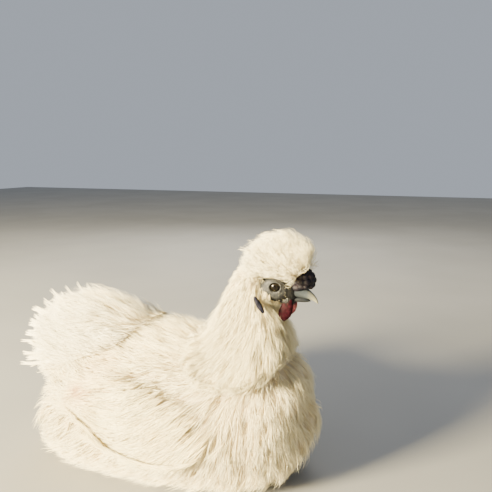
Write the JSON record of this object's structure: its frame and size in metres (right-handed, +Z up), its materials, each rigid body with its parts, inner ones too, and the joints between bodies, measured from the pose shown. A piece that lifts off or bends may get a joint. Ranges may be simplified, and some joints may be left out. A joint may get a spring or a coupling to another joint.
{
  "type": "silkie chicken",
  "caption": "White silkie hen resting with feet tucked under: powder-puff crest, walnut comb, blue earlobes, dark face and curled fluffy tail.",
  "frame": {"origin": "flat of the belly plumage on the floor, on the mirror plane, under the middle of the body", "axes": "+X towards the beak, +Y to the bird's left, +Z up, floor at z = 0"},
  "size_m": [0.3539, 0.204, 0.2543],
  "materials": {
    "plumage": "matt silky down",
    "face_skin": "matt wrinkled skin",
    "comb_skin": "soft sheen",
    "wattle_skin": "soft sheen",
    "earlobe_skin": "soft sheen",
    "beak_horn": "satin horn",
    "eye": "wet gloss",
    "leg_skin": "matt scales"
  },
  "bodies": {
    "root": {"torso": "plumage", "neck": "plumage", "crest": "plumage", "tail": "plumage", "wing_left": "plumage", "wing_right": "plumage", "head": "face_skin", "comb": "comb_skin", "beak_upper": "beak_horn", "beak_lower": "beak_horn", "eye_left": "eye", "eye_right": "eye", "wattle_left": "wattle_skin", "wattle_right": "wattle_skin", "earlobe_left": "earlobe_skin", "earlobe_right": "earlobe_skin", "leg_left": "leg_skin", "leg_right": "leg_skin"}
  },
  "joints": []
}
